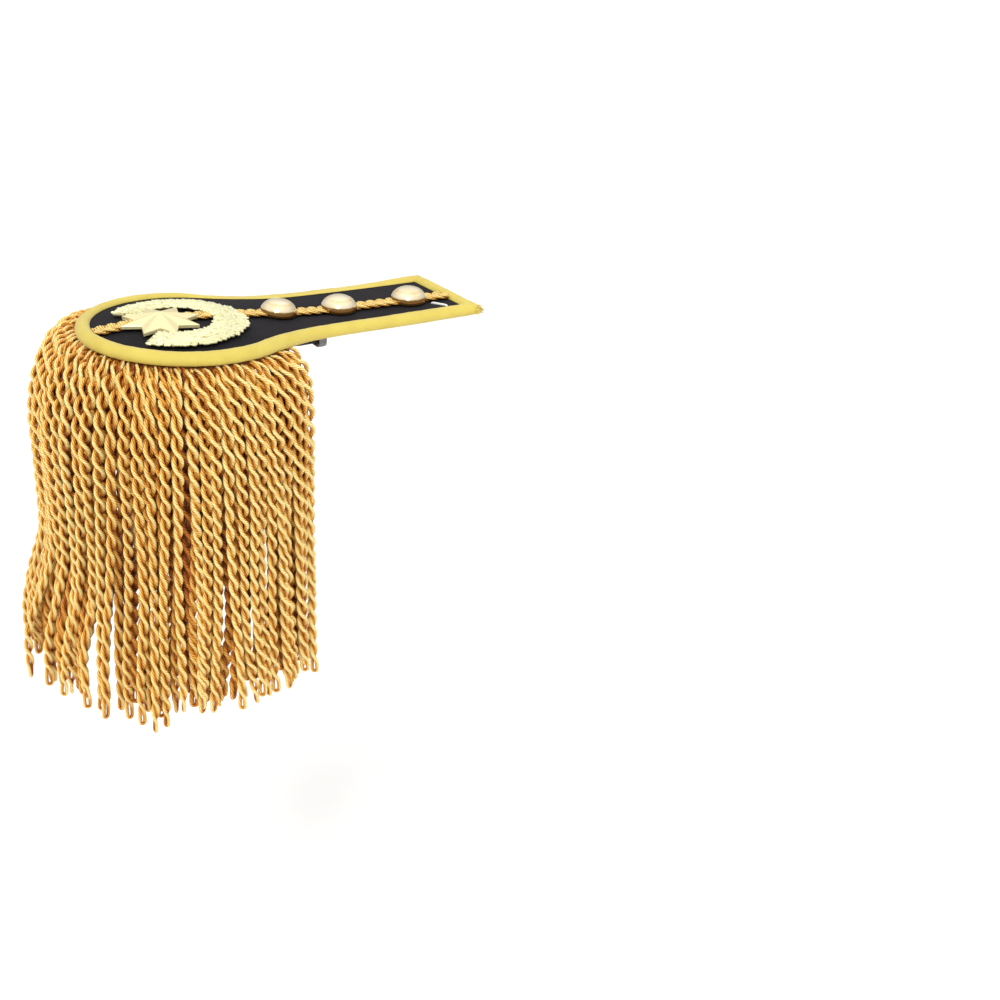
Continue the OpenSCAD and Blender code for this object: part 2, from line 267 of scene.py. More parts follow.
def setCamera():
    turn, elevation = math.radians(camera["turn"]), math.radians(camera["elevation"])
    yaw, pitch = math.radians(camera["yaw"]), math.radians(camera["pitch"])
    away = Vector((math.sin(turn), math.cos(turn), 0))
    across = Vector((math.cos(turn), -math.sin(turn), 0))
    up = Vector((0, 0, 1))
    place = Vector(camera["padMiddle"]) - away * camera["distance"] * math.cos(elevation)
    place += up * camera["distance"] * math.sin(elevation)
    level = across * math.sin(yaw) + away * math.cos(yaw)
    forward = level * math.cos(pitch) - up * math.sin(pitch)
    right = across * math.cos(yaw) - away * math.sin(yaw)
    upward = right.cross(forward)
    data = bpy.data.cameras.new("camera")
    data.lens = camera["lens"]
    data.sensor_width = 36
    data.shift_x, data.shift_y = camera["shift"]
    data.clip_start = 0.01
    eye = bpy.data.objects.new("camera", data)
    bpy.context.scene.collection.objects.link(eye)
    turned = Matrix((right, upward, -forward)).transposed()
    eye.matrix_world = Matrix.Translation(place) @ turned.to_4x4()
    bpy.context.scene.camera = eye


setCamera()

# The sky's stops go from straight down to straight up; a lamp has its name, place, power and colour
stage = {"floorDrop": 0.3, "floorSize": 14, "floorTone": 0.9,
         "sky": [(0.0, 0.30), (0.5, 0.42), (0.68, 0.66), (0.86, 1.0), (1.0, 1.25)],
         "skyTint": (1.0, 0.992, 0.975), "keyColour": (1.0, 0.985, 0.95),
         "keyStrength": 1.7, "keySoftness": 16, "keyFrom": (-0.55, -0.75, 0.95),
         "lamps": [("fill", (0.55, -0.45, 0.28), 0.9, (1.0, 0.98, 0.95)),
                   ("rim", (-0.3, 0.6, 0.4), 0.8, (1.0, 1.0, 1.0))],
         "lampSize": 0.5, "lampTarget": (0.02, 0, -0.05)}


def aim(obj, place, target):
    obj.location = place
    obj.rotation_euler = (Vector(target) - Vector(place)).to_track_quat("-Z", "Y").to_euler()
    bpy.context.scene.collection.objects.link(obj)


def floorFinish():
    finish = Finish("floor")
    tone = stage["floorTone"]
    grain = finish.noise(finish.objectPlace(), 900.0)
    shade = finish.ramp(grain, [(0.3, (tone * 0.985,) * 3), (0.7, (tone,) * 3)])
    return finish.surface({"Base Color": shade, "Roughness": 0.85})


def setFloor():
    half = stage["floorSize"] / 2
    z = cadBox[0][2] - stage["floorDrop"]
    corners = [(-half, -half, z), (half, -half, z), (half, half, z), (-half, half, z)]
    mesh = bpy.data.meshes.new("floor")
    mesh.from_pydata(corners, [], [(0, 1, 2, 3)])
    mesh.materials.append(floorFinish())
    floor = bpy.data.objects.new("floor", mesh)
    bpy.context.scene.collection.objects.link(floor)


def setLight():
    sky = Nodes(bpy.data.worlds.new("studio"))
    upward = sky.wire("ShaderNodeSeparateXYZ", None, {0: sky.wire("ShaderNodeTexCoord")}, 2)
    stops = [(place, tuple(light * part for part in stage["skyTint"])) for place, light in stage["sky"]]
    shade = sky.ramp(sky.spread(upward, -1.0, 1.0), stops)
    bpy.context.scene.world = sky.close("ShaderNodeBackground", "ShaderNodeOutputWorld", {0: shade})
    sun = bpy.data.lights.new("key", "SUN")
    sun.energy = stage["keyStrength"]
    sun.angle = math.radians(stage["keySoftness"])
    sun.color = stage["keyColour"]
    aim(bpy.data.objects.new("key", sun), stage["keyFrom"], (0, 0, 0))
    for name, place, power, tint in stage["lamps"]:
        data = bpy.data.lights.new(name, "AREA")
        data.shape = "DISK"
        data.size = stage["lampSize"]
        data.energy = power
        data.color = tint
        lamp = bpy.data.objects.new(name, data)
        lamp.visible_glossy = False     # no round lamp in the polished metal
        aim(lamp, place, stage["lampTarget"])
    bpy.context.scene.view_settings.view_transform = "Standard"


setFloor()
setLight()
print("camera and stage set")


# The board's form, the same as the solids'
board = {"length": 155 * mm, "padWidth": 80 * mm, "neckWidth": 51.6 * mm, "endWidth": 47.4 * mm,
         "neckRadius": 80 * mm, "thick": 1.6 * mm, "crown": 3.2 * mm, "slope": 2.7, "endLift": 1.5 * mm,
         "gap": 0.15 * mm, "wrap": 1.25 * mm, "padSteps": 80, "curveSteps": 30, "strapSteps": 44,
         "endSteps": 34, "mitre": 9 * mm}
padR = board["padWidth"] / 2
endX = board["length"] - padR
taper = (board["endWidth"] - board["neckWidth"]) / 2 / (endX - padR)
sideY = board["neckWidth"] / 2 - taper * padR
sideLen = math.sqrt(1 + taper * taper)
neckR = board["neckRadius"]
hollowK = neckR * sideLen + sideY
hollowB = 2 * hollowK * taper
hollowC = hollowK * hollowK - (padR + neckR) ** 2
hollowX = (math.sqrt(hollowB ** 2 - 4 * sideLen ** 2 * hollowC) - hollowB) / (2 * sideLen ** 2)
hollowY = hollowK + taper * hollowX
joinA = math.atan2(hollowY, hollowX)
joinX = padR * math.cos(joinA)
sideX = hollowX + neckR * taper / sideLen
slope = math.tan(math.radians(board["slope"]))


def halfWidth(x):
    x = np.asarray(x, float)
    pad = np.sqrt(np.maximum(1e-8, padR ** 2 - x ** 2))
    hollow = hollowY - np.sqrt(np.maximum(1e-8, neckR ** 2 - (x - hollowX) ** 2))
    return np.where(x < joinX, pad, np.where(x < sideX, hollow, sideY + taper * x))


def topZ(x, y):
    x, y = np.asarray(x, float), np.asarray(y, float)
    spine = -slope * x + board["endLift"] * np.maximum(0, (x - padR / 2) / (endX - padR / 2)) ** 2
    dome = np.maximum(0, 1 - (x * x + y * y) / padR ** 2)
    roof = (1 - smoothStep(x / (1.5 * padR))) * np.maximum(0, 1 - (y / halfWidth(x)) ** 2)
    return board["thick"] - board["crown"] + spine + board["crown"] * np.where(x < 0, dome, roof)


# Stations of the edge on the back side: place, and the way in which an inset moves it
def halfEdge():
    places, ways = [], []
    for i in range(board["padSteps"] + 1):
        a = math.pi - i * (math.pi - joinA) / board["padSteps"]
        places.append((padR * math.cos(a), padR * math.sin(a)))
        ways.append((-math.cos(a), -math.sin(a)))
    startA, stopA = joinA - math.pi, math.atan2(-1, taper)
    for i in range(1, board["curveSteps"] + 1):
        a = startA + i * (stopA - startA) / board["curveSteps"]
        places.append((hollowX + neckR * math.cos(a), hollowY + neckR * math.sin(a)))
        ways.append((math.cos(a), math.sin(a)))
    plain, mitred = np.array([taper / sideLen, -1 / sideLen]), np.array([-1, -taper - sideLen])
    for i in range(1, board["strapSteps"] + 1):
        x = sideX + i * (endX - sideX) / board["strapSteps"]
        share = max(0, (x - endX + board["mitre"]) / board["mitre"])
        places.append((x, sideY + taper * x))
        ways.append(plain * (1 - share) + mitred * share)
    return np.array(places), np.array(ways)


def wholeEdge():
    places, ways = halfEdge()
    endHalf = board["endWidth"] / 2
    ys = np.linspace(endHalf, -endHalf, board["endSteps"] + 2)[1:-1]
    share = np.clip((np.abs(ys) - endHalf + board["mitre"]) / board["mitre"], 0, 1)
    endPlaces = np.stack([np.full(len(ys), endX), ys], 1)
    endWays = np.stack([np.full(len(ys), -1.0), -np.sign(ys) * share * (taper + sideLen)], 1)
    mirror = np.array([1, -1])
    return (np.concatenate([places, endPlaces, places[:0:-1] * mirror]),
            np.concatenate([ways, endWays, ways[:0:-1] * mirror]))


# Cloth board
cloth = {"across": 30, "colour": (0.008, 0.0075, 0.0095), "fleck": (0.028, 0.026, 0.031)}


def clothFinish():
    finish = Finish("black_cloth")
    place = finish.objectPlace()
    fibres = finish.noise(place, 2600.0, 4.0, 0.65)
    nap = finish.noise(place, 420.0, 3.0)
    worn = finish.noise(place, 60.0, 2.0)
    tone = finish.spread(fibres, 0.35, 0.78) * 0.55 + finish.spread(worn, 0.4, 0.75) * 0.25
    shade = finish.ramp(tone, [(0.0, cloth["colour"]), (1.0, cloth["fleck"])])
    normal = finish.bump(fibres * 0.7 + nap * 0.6, 0.12 * mm)
    return finish.surface({"Base Color": shade, "Roughness": 0.82, "Normal": normal,
                           "Sheen Weight": 0.03, "Sheen Roughness": 0.4, "Specular IOR Level": 0.1})


def makeBoard():
    places, ways = halfEdge()
    inside = (places + ways * (board["wrap"] + board["gap"]))[1:]
    across = np.linspace(1, -1, cloth["across"] + 1)
    x = np.repeat(inside[:, :1], len(across), axis=1)
    y = inside[:, 1:] * across[None]
    top = np.stack([x, y, topZ(x, y)], -1)
    bottom = np.stack([x, y, topZ(x, y) - board["thick"]], -1)[:, ::-1]
    shape = Shape()
    shape.addRings(np.concatenate([top, bottom], axis=1), caps=True)
    shape.build("cloth_board", clothFinish(), "black_cloth", ["board"])


makeBoard()


# Binding; a ripple has its rate along the edge and its lean across the roll. light is the colour of the
# roll's lit top and deep the painted shade under it.
binding = {"width": 5.6 * mm, "roll": 1.9 * mm, "backRoll": 0.3, "lip": 0.8 * mm, "pucker": 0.10 * mm,
           "stitch": 2.7 * mm, "stitchDepth": 0.09 * mm,
           "ripples": [(330, 2.1), (760, -3.4), (1180, 5.2), (1750, -2.7), (2600, 6.1), (210, 0.6),
                       (95, -0.4)],
           "light": (0.66, 0.54, 0.105), "deep": (0.50, 0.32, 0.03)}


# A smooth curve through all the points, with so many steps between two of them
def roundThrough(points, steps):
    points = np.asarray(points, float)
    padded = np.concatenate([[2 * points[0] - points[1]], points, [2 * points[-1] - points[-2]]])
    curve = []
    for k in range(1, len(padded) - 2):
        p0, p1, p2, p3 = padded[k - 1:k + 3]
        for t in np.arange(steps) / steps:
            curve.append(0.5 * (2 * p1 + (p2 - p0) * t + (2 * p0 - 5 * p1 + 4 * p2 - p3) * t * t
                                + (3 * p1 - p0 - 3 * p2 + p3) * t ** 3))
    curve.append(points[-1])
    return np.array(curve)


# The roll's section as (inset, height): from under the board round its edge to the top, then the hidden side
def bindingFold():
    w, h, lip, t, g = binding["width"], binding["roll"], binding["lip"], board["thick"], board["gap"]
    upper = [(0.64 * w, -t - g - 0.9 * lip), (0.3 * w, -t - g - lip), (0.07 * w, -t - g - 0.45 * lip),
             (0, -t / 2), (0.06 * w, 0.22 * h), (0.25 * w, 0.8 * h), (0.5 * w, h), (0.77 * w, 0.8 * h),
             (0.95 * w, 0.36 * h), (w, g)]
    outer = roundThrough(upper, 5)
    hidden = [(board["wrap"], g), (board["wrap"], -t - g), (0.82 * w, -t - g)]
    return np.concatenate([outer, hidden]), len(outer)


def bindingFinish():
    finish = Finish("yellow_satin")
    place = finish.objectPlace()
    u, v = finish.uvParts()
    weave = finish.noise(finish.combine(u * 420.0, v * 9000.0), 1.0, 2.0)
    cloudy = finish.noise(place, 130.0, 3.0)
    fleck = finish.noise(place, 900.0, 4.0, 0.7)
    # painted shade: the roll is coloured darker underneath, as if out of the light
    turned = finish.attribute("low")
    tone = finish.spread(cloudy, 0.3, 0.75) * 0.3 + turned * 0.75 + finish.spread(fleck, 0.56, 0.74) * 0.3
    shade = finish.ramp(tone, [(0.0, binding["light"]), (1.0, binding["deep"])])
    normal = finish.bump(weave * 0.5 + cloudy * 2.2 + fleck * 0.6, 0.14 * mm)
    return finish.surface({"Base Color": shade, "Roughness": finish.spread(weave, 0.2, 0.9) * 0.12 + 0.46,
                           "Normal": normal, "Sheen Weight": 0.25, "Sheen Roughness": 0.4,
                           "Specular IOR Level": 0.35})


def makeBinding():
    places, ways = wholeEdge()
    fold, outerCount = bindingFold()
    steps = np.linalg.norm(np.diff(places, axis=0, append=places[:1]), axis=1)
    along = np.concatenate([[0], np.cumsum(steps)[:-1]])
    spot = places[:, None] + ways[:, None] * fold[None, :, :1]
    x, y = places[:, :1], places[:, 1:]
    back = smoothStep(x / padR) * smoothStep((endX - x) / padR) * (y > 0)
    press = np.where(fold[None, :, 1] > 1.01 * board["gap"], 1 - (1 - binding["backRoll"]) * back, 1)
    z = topZ(spot[..., 0], spot[..., 1]) + fold[None, :, 1] * press
    rings = np.concatenate([spot, z[..., None]], -1)
    share = np.arange(len(fold)) / outerCount
    cushion = np.clip(np.sin(math.pi * np.clip(share, 0, 1)), 0, 1)
    phases = rng.uniform(0, 6.28, len(binding["ripples"]))
    puff = 0
    for (rate, lean), phase in zip(binding["ripples"], phases):
        wave = np.sin(rate * along[:, None] + lean * share[None] * 3 + phase)
        puff = puff + wave * (1.0 if rate < 1000 else 0.5)
    stitch = np.cos(2 * math.pi * along / binding["stitch"])[:, None] ** 8
    seam = bell(share - 0.93, 0.05)[None]
    lift = binding["pucker"] * 0.4 * puff * cushion[None] - binding["stitchDepth"] * stitch * seam
    normal = np.cross(np.gradient(rings, axis=0), np.gradient(rings, axis=1))
    normal /= np.linalg.norm(normal, axis=-1, keepdims=True) + 1e-12
    outwardSign = 1 if normal[20, outerCount // 2 + 4, 2] > 0 else -1
    mask = (np.arange(len(fold)) < outerCount)[None, :, None]
    rings = rings + normal * (lift[..., None] * outwardSign) * mask
    # painted shade: strongest under the board, fading out where the roll turns round the board's edge
    low = np.clip((0.45 - share * 1.35) * 1.6, 0, 1)[None]
    shape = Shape()
    shape.addRings(rings, alongClosed=True, along=along, values={"low": low})
    piece = shape.build("binding_roll", bindingFinish(), "yellow_binding", ["binding"])


makeBinding()


# Plaited braid; its shades run from a painted highlight on the strands' tops to painted shade where they dip
# under each other.
braid = {"width": 8 * mm, "thick": 0.9 * mm, "drift": 5.3 * mm, "pitch": 12.6 * mm, "sides": 24,
         "halfStrand": 1.9 * mm, "halfThick": 0.55 * mm, "weave": 0.46 * mm, "step": 0.36 * mm,
         "threads": (44.0, 5200.0, 0.34),
         "shades": [(0.04, (1.0, 0.84, 0.34)), (0.26, (0.84, 0.49, 0.06)), (0.52, (0.46, 0.19, 0.015)),
                    (0.95, (0.10, 0.025, 0.002))]}


def braidY(x):
    return -braid["drift"] * (np.asarray(x, float) + padR) / board["length"]


# Twisted yarn: around and along set the slant of its threads; shades run from a painted highlight on the lit
# ridge to painted shade in the crevice.
def yarnFinish(name, shades, around, along, contrast=0.17):
    finish = Finish(name)
    u, v = finish.uvParts()
    depth, tone, extraShade = finish.attribute("depth"), finish.attribute("tone"), finish.attribute("extraShade")
    drift = finish.noise(finish.combine(u * 3.0, v * 160.0, tone * 37.0), 1.0, 2.0)
    threads = finish.sine(u * around + v * along + drift * 4.0)
    fine = finish.noise(finish.combine(u * 34.0 + v * 2600.0, v * 300.0, tone * 11.0), 1.0, 2.0)
    patch = finish.noise(finish.combine(u * 2.0, v * 60.0, tone * 71.0), 1.0, 2.0)
    # the colour is picked by painted light: each point's painted shade plus the shade added to a whole layer
    shadeValue = depth * 0.92 - threads * contrast + finish.spread(fine, 0.3, 0.7) * 0.12 + extraShade
    shade = finish.ramp(shadeValue + (patch + tone - 1.0) * 0.14, shades)
    normal = finish.bump(threads * 0.6 + fine * 0.8, 0.2 * mm)
    return finish.surface({"Base Color": shade, "Roughness": finish.spread(fine, 0.2, 0.8) * 0.14 + 0.38,
                           "Normal": normal, "Metallic": 0.25, "Specular IOR Level": 0.4, "Sheen Weight": 0.1,
                           "Sheen Roughness": 0.3, "Sheen Tint": (1.0, 0.86, 0.42, 1.0)})


def makeBraid():
    startX = -padR + binding["width"] + 2 * board["gap"] - 0.6 * mm
    stopX = endX - binding["width"] - 2 * board["gap"] + 0.6 * mm
    x = np.arange(startX, stopX, braid["step"])
    middleY = braidY(x)
    shape = Shape()
    halfStrand, thick = braid["halfStrand"], braid["halfThick"]
    reach = braid["width"] / 2 - halfStrand
    angle = roundAngles(braid["sides"])
    for k in range(3):
        theta = 2 * math.pi * (x / braid["pitch"] + k / 3)
        y = middleY + reach * np.sin(theta)
        rise = thick + braid["weave"] * (1 + np.sin(2 * theta))
        points = np.stack([x, y, topZ(x, y) + board["gap"] + rise], 1)
        tangent = unit(np.gradient(points, axis=0))
        side = unit(np.cross(np.array([0, 0, 1.0]), tangent))
        over = np.cross(tangent, side)
        rings = points[:, None] + side[:, None] * (halfStrand * np.cos(angle))[None, :, None]
        rings = rings + over[:, None] * (thick * np.sin(angle))[None, :, None]
        # painted shade: the strand's underside and the places where it dips under the others are darker, its
        # top lighter
        depth = 0.62 - 0.5 * np.sin(angle)[None] - 0.26 * np.sin(2 * theta)[:, None]
        shape.addRings(rings, caps=True, values={"depth": np.clip(depth, 0, 1), "tone": k / 3, "extraShade": 0.1})
    material = yarnFinish("gold_plait", braid["shades"], *braid["threads"])
    shape.build("centre_plait", material, "gold_braid", ["centre_braid"])


makeBraid()
print("board, binding and braid made")


# Buttons; the profile goes from the top of the dome to under its rim, as shares of the radius and height
button = {"across": 14.2 * mm, "height": 5.2 * mm, "foot": 8.6 * mm, "firstX": 37.2 * mm,
          "steps": (25.4 * mm, 30.4 * mm), "sides": 72,
          "profile": [(0, 1.0), (0.15, 0.992), (0.3, 0.965), (0.45, 0.915), (0.58, 0.84), (0.68, 0.76),
                      (0.78, 0.65), (0.86, 0.52), (0.93, 0.37), (0.975, 0.22), (1.0, 0.05), (0.99, -0.07),
                      (0.94, -0.16), (0.85, -0.17)],
          "gold": (1.0, 0.92, 0.72), "dull": (0.95, 0.76, 0.45), "shade": (0.30, 0.15, 0.045)}


# The button's colour holds painted reflection: a dark band round the rim's lower part, as if mirroring the
# black cloth, and a faint darker ring high on the dome.
def buttonFinish():
    finish = Finish("polished_button")
    place = finish.objectPlace()
    # this noise is partly real smudges that roughen the metal, partly painted reflection that blotches its
    # colour
    smudgeAndReflection = finish.noise(place, 210.0, 3.0)
    scratch = finish.noise(place, 1700.0, 3.0, 0.6)
    low = finish.attribute("low")
    stops = [(0.14, button["gold"]), (0.3, button["dull"]), (0.62, button["shade"])]
    shade = finish.ramp(smudgeAndReflection * 0.4 + low * 0.8, stops)
    normal = finish.bump(scratch * 0.25 + smudgeAndReflection, 0.010 * mm)
    return finish.surface({"Base Color": shade, "Metallic": 0.82, "Normal": normal,
                           "Roughness": finish.spread(smudgeAndReflection, 0.35, 0.8) * 0.10 + 0.10})


def makeButtons():
    material = buttonFinish()
    profile = roundThrough(button["profile"], 5)
    x = button["firstX"]
    for index in range(3):
        y = float(braidY(x))
        footR = button["foot"] / 2
        fall = (topZ(x - footR, y) - topZ(x + footR, y)) / button["foot"]
        body = [(r * button["across"] / 2, h * button["height"]) for r, h in profile]
        body += [(footR, -0.15 * button["height"]), (footR, -0.19 * button["height"])]
        body[0] = (0.02 * mm, body[0][1])
        angle = roundAngles(button["sides"])
        rings = np.array([[(r * math.cos(a), r * math.sin(a), h) for a in angle] for r, h in body])
        tilt = np.array(Matrix.Rotation(math.atan(fall), 3, "Y"))
        seat = np.array([x, y, float(topZ(x, y)) + 2 * board["gap"] + braid["thick"]])
        shape = Shape()
        # painted reflection: the lower rim darkens in streaks side by side, and a faint ring sits at three
        # quarters of the height
        reflectionStreaks = rng.uniform(0.62, 1.1, (1, button["sides"]))
        high = rings[:, :1, 2] / button["height"]
        low = np.clip((0.36 - high) / 0.14, 0, 1) * reflectionStreaks + 0.15 * bell(high - 0.74, 0.08)
        shape.addRings(rings @ tilt.T + seat, caps=True, values={"low": low})
        shape.build("domed_button_%d" % (index + 1), material, "button_gold", ["button_%d" % (index + 1)])
        if index < 2:
            x += button["steps"][index]


makeButtons()
print("buttons made")


# Medallion, of a wreath and a star
medal = {"middle": (-4.7 * mm, float(braidY(-4.7 * mm)) - 3 * mm), "wreathR": 26 * mm, "band": 12 * mm,
         "open": 76, "bandTaper": 0.05, "plate": 0.9 * mm, "plateReach": 0.97, "leafReach": 0.95,
         "leafWidth": 1.8 * mm, "leafHigh": 0.26 * mm, "leafTilt": 0.30 * mm,
         "barWidth": 3 * mm, "barReach": 0.8, "starPoints": 8, "starR": 15.2 * mm, "starWaist": 0.62,
         "starShift": 6.3 * mm, "starHigh": 3.2 * mm, "starWall": 1.3 * mm, "starBevel": 0.14 * mm,
         "pale": (0.95, 0.93, 0.62), "shadow": (0.66, 0.60, 0.30), "warm": (0.97, 0.86, 0.50)}
# Rows of leaves: [place across the band from the inner edge, lean in degrees, leaves on each arm, length]
leafRows = [(0.97, 34, 44, 2.4 * mm), (0.85, 28, 40, 2.7 * mm), (0.73, 18, 36, 2.9 * mm),
            (0.61, 6, 33, 2.9 * mm), (0.49, -6, 32, 2.9 * mm), (0.37, -18, 31, 2.9 * mm),
            (0.25, -28, 30, 2.8 * mm), (0.13, -36, 29, 2.6 * mm), (0.02, -40, 27, 2.3 * mm)]
arcHalf = math.pi - math.radians(medal["open"]) / 2
medalSeat = braid["thick"] + 2 * board["gap"]


def medalZ(x, y):
    return topZ(medal["middle"][0] + x, medal["middle"][1] + y) + medalSeat


def bandAt(a):
    return medal["band"] * (1 - medal["bandTaper"] * (abs(a) / arcHalf) ** 2)


# A ribbed leaf with notched edges; heading is the way its tip points
def leafRings(x0, y0, heading, length, width, lift, curl):
    u, v = np.meshgrid(np.linspace(0, 1, 7), np.linspace(-1, 1, 5), indexing="ij")
    notch = 1 + 0.12 * np.cos(2 * math.pi * u * 2.5)
    half = 0.5 * width * np.sin(math.pi * np.clip(0.1 + 0.88 * u ** 0.8, 0, 1)) ** 0.7 * notch
    side = v * half
    forward = (u - 0.4) * length
    arch = medal["leafHigh"] * (1 - v ** 2) * np.sin(math.pi * (0.12 + 0.74 * u)) ** 0.7
    rise = lift + medal["leafTilt"] * u * u * curl
    x = x0 + forward * math.cos(heading) - side * math.sin(heading)
    y = y0 + forward * math.sin(heading) + side * math.cos(heading)
    base = medalZ(x, y)
    upper = np.stack([x, y, base + rise + arch], -1)
    lower = np.stack([x, y, base + np.maximum(0.1 * mm, rise - 0.5 * mm)], -1)
    return np.concatenate([upper, lower[:, ::-1]], axis=1) + np.array(medal["middle"] + (0,))


def medalFinish(name, rough, grain, sparkle, light, deep):
    finish = Finish(name)
    place = finish.objectPlace()
    crystal = finish.noise(place, 4200.0, 3.0, 0.7)
    cast = finish.noise(place, 1100.0, 3.0)
    # low is painted shade, from the light colour towards the shadow colour
    low = finish.attribute("low")
    tone = low * 0.7 + finish.spread(cast, 0.3, 0.75) * 0.2 + finish.spread(crystal, 0.45, 0.8) * 0.2
    shade = finish.ramp(tone, [(0.0, light), (1.0, deep)])
    normal = finish.bump(crystal * sparkle + cast * 0.6, grain)
    return finish.surface({"Base Color": shade, "Metallic": 0.55, "Normal": normal,
                           "Roughness": finish.spread(crystal, 0.3, 0.7) * 0.16 + rough})


# Points given from the medallion's middle, as (x, y, height over its seat)
def onMedal(points):
    return [(x + medal["middle"][0], y + medal["middle"][1], float(medalZ(x, y)) + h) for x, y, h in points]


def makeWreath():
    shape = Shape()
    rows = []
    plateHalf = medal["plateReach"] * arcHalf
    for a in np.linspace(-plateHalf, plateHalf, 90):
        outer = medal["wreathR"] - 0.11 * medal["band"]
        inner = medal["wreathR"] - bandAt(a) + 0.06 * medal["band"]
        section = ((outer, 0), (outer, medal["plate"]), (inner, medal["plate"]), (inner, 0))
        rows.append(onMedal([(r * math.cos(a), r * math.sin(a), h) for r, h in section]))
    # the plate between the leaves is in full painted shade
    shape.addRings(rows, caps=True, values={"low": 1})
    for share, lean, count, length in leafRows:
        for arm in (-1, 1):
            for i in range(count):
                a = medal["leafReach"] * arm * arcHalf * (i + rng.uniform(0.1, 0.9)) / count
                grow = 1 - 0.12 * (abs(a) / arcHalf) ** 2 + rng.uniform(-0.22, 0.22)
                inset = 0.3 * length * abs(math.sin(math.radians(lean)))
                radius = medal["wreathR"] - bandAt(a) * (1 - share) + rng.uniform(-0.5, 0.5) * mm
                radius += (-inset if share > 0.5 else inset) * (abs(share - 0.5) > 0.25)
                heading = a + arm * (math.pi / 2 - math.radians(lean) + rng.uniform(-0.34, 0.34))
                lift = (0.55 + 0.4 * (1 - (2 * share - 1) ** 2) + rng.uniform(0, 0.22)) * mm
                rings = leafRings(radius * math.cos(a), radius * math.sin(a), heading, length * grow,
                                  medal["leafWidth"] * grow, lift, rng.uniform(0.3, 1.5))
                # painted shade on each leaf's underside and its base row; its top stays light
                low = np.full(rings.shape[:2], 0.1)
                low[:, 5:] = 1
                low[0] = 0.9
                shape.addRings(rings, caps=True, values={"low": low})
    material = medalFinish("frosted_leaf", 0.34, 0.10 * mm, 1.0, medal["pale"], medal["shadow"])
    shape.build("leaf_wreath", material, "medallion_gold", ["medallion"])


# The bar behind the star, which joins it to both arms of the wreath
def makeBar():
    half, reach = medal["barWidth"] / 2, medal["barReach"] * medal["wreathR"]
    section = [(-half, 0.1), (-half, 0.9), (0, 1.3), (half, 0.9), (half, 0.1)]
    shape = Shape()
    # the bar behind the star is in part painted shade
    shape.addRings([onMedal([(x - medal["starShift"], y, h * medal["plate"]) for x, h in section])
                    for y in np.linspace(-reach, reach, 24)], caps=True, values={"low": 0.4})
    material = medalFinish("frosted_bar", 0.34, 0.06 * mm, 1.0, medal["pale"], medal["shadow"])
    shape.build("joining_bar", material, "medallion_gold", ["medallion"])


def makeStar():
    points = medal["starPoints"]
    corner = np.arange(2 * points)
    a = math.pi * corner / points
    r = medal["starR"] * np.where(corner % 2 == 0, 1, medal["starWaist"])
    rim = np.stack([r * np.cos(a) - medal["starShift"], r * np.sin(a)], 1)
    centre = np.array([-medal["starShift"], 0])
    floorZ = medalZ(rim[:, 0], rim[:, 1])
    peakZ = float(medalZ(*centre)) + medal["plate"] + medal["starHigh"]
    rows = [np.stack([rim[:, 0], rim[:, 1], floorZ + 0.1 * mm], 1)]
    for share in (1.0, 0.985, 0.72, 0.48, 0.25, 0.08, 0.004):
        spot = centre + (rim - centre) * share
        rise = (1 - share) ** 0.93
        edgeZ = floorZ + medal["starWall"] * (1 if share < 1 else 0.92)
        rows.append(np.stack([spot[:, 0], spot[:, 1], edgeZ * (1 - rise) + peakZ * rise], 1))
    shape = Shape()
    shape.addRings(np.array(rows) + np.array(medal["middle"] + (0,)), caps=True, values={"low": 0.1})
    material = medalFinish("polished_star", 0.26, 0.015 * mm, 0.2, medal["warm"], medal["shadow"])
    softEdge(shape.build("raised_star", material, "medallion_gold", ["medallion"], smooth=False),
             medal["starBevel"], 9)


makeWreath()
makeBar()
makeStar()
print("medallion made")


# Fringe of twisted cords
# The cord shades run from a painted highlight on the lit faces to painted shade in the crevices; brighten is
# where the hidden layers' painted shade eases off.
fringe = {"drop": 137 * mm, "flareEnd": 16.5 * mm, "flareNeck": 9 * mm, "flareDip": 4 * mm, "neckStop": 43,
          "bend": 32 * mm, "lift": 6 * mm, "headIn": 7 * mm, "headOut": 1.4 * mm, "headThick": 2.8 * mm,
          "bendSteps": 60, "hangSteps": 90, "tipRise": 4 * mm, "tipShort": 15 * mm, "tipOdd": 3 * mm,
          "innerShort": 3 * mm, "kick": 7 * mm, "waist": 0.9 * mm,
          "pitch": 13.6 * mm, "lowPitch": 12.2 * mm, "firstLobe": 8.4 * mm,
          "facing": -112, "turnIn": 0.6, "snap": 0.12, "loop": 3.2 * mm,
          "ply": (0.78 * mm, 0.74 * mm), "flat": (1.22, 1.15), "open": (1.38 * mm, 0.92 * mm),
          "crowdEnd": 11 * mm, "tighten": (22 * mm, 50 * mm), "brighten": (70 * mm, 60 * mm),
          "threads": (31.4, 3100.0), "tapeThreads": (90.0, 4000.0),
          "shades": [(0.09, (1.0, 0.92, 0.46)), (0.26, (0.96, 0.61, 0.125)), (0.48, (0.78, 0.33, 0.034)),
                     (0.72, (0.50, 0.14, 0.008)), (1.0, (0.20, 0.035, 0.002))],
          "tapeShades": [(0.3, (0.26, 0.08, 0.01)), (0.9, (0.12, 0.03, 0.003))]}
# Layers of cords: name, cords, inset, sides of a ply, step along it, pieces, painted shade on the layer,
# share of a turn, how far it follows the partings
layers = [("outer", 54, 0.0, 9, 0.95 * mm, 3, -0.03, 0.0, 1.0),
          ("middle", 46, 2.6 * mm, 8, 1.2 * mm, 2, 0.24, 0.25, 0.75),
          ("inner", 44, 5.0 * mm, 6, 1.5 * mm, 1, 0.5, 0.1, 0.2),
          ("back", 38, 7.4 * mm, 5, 1.9 * mm, 1, 0.62, 0.3, 0.0)]
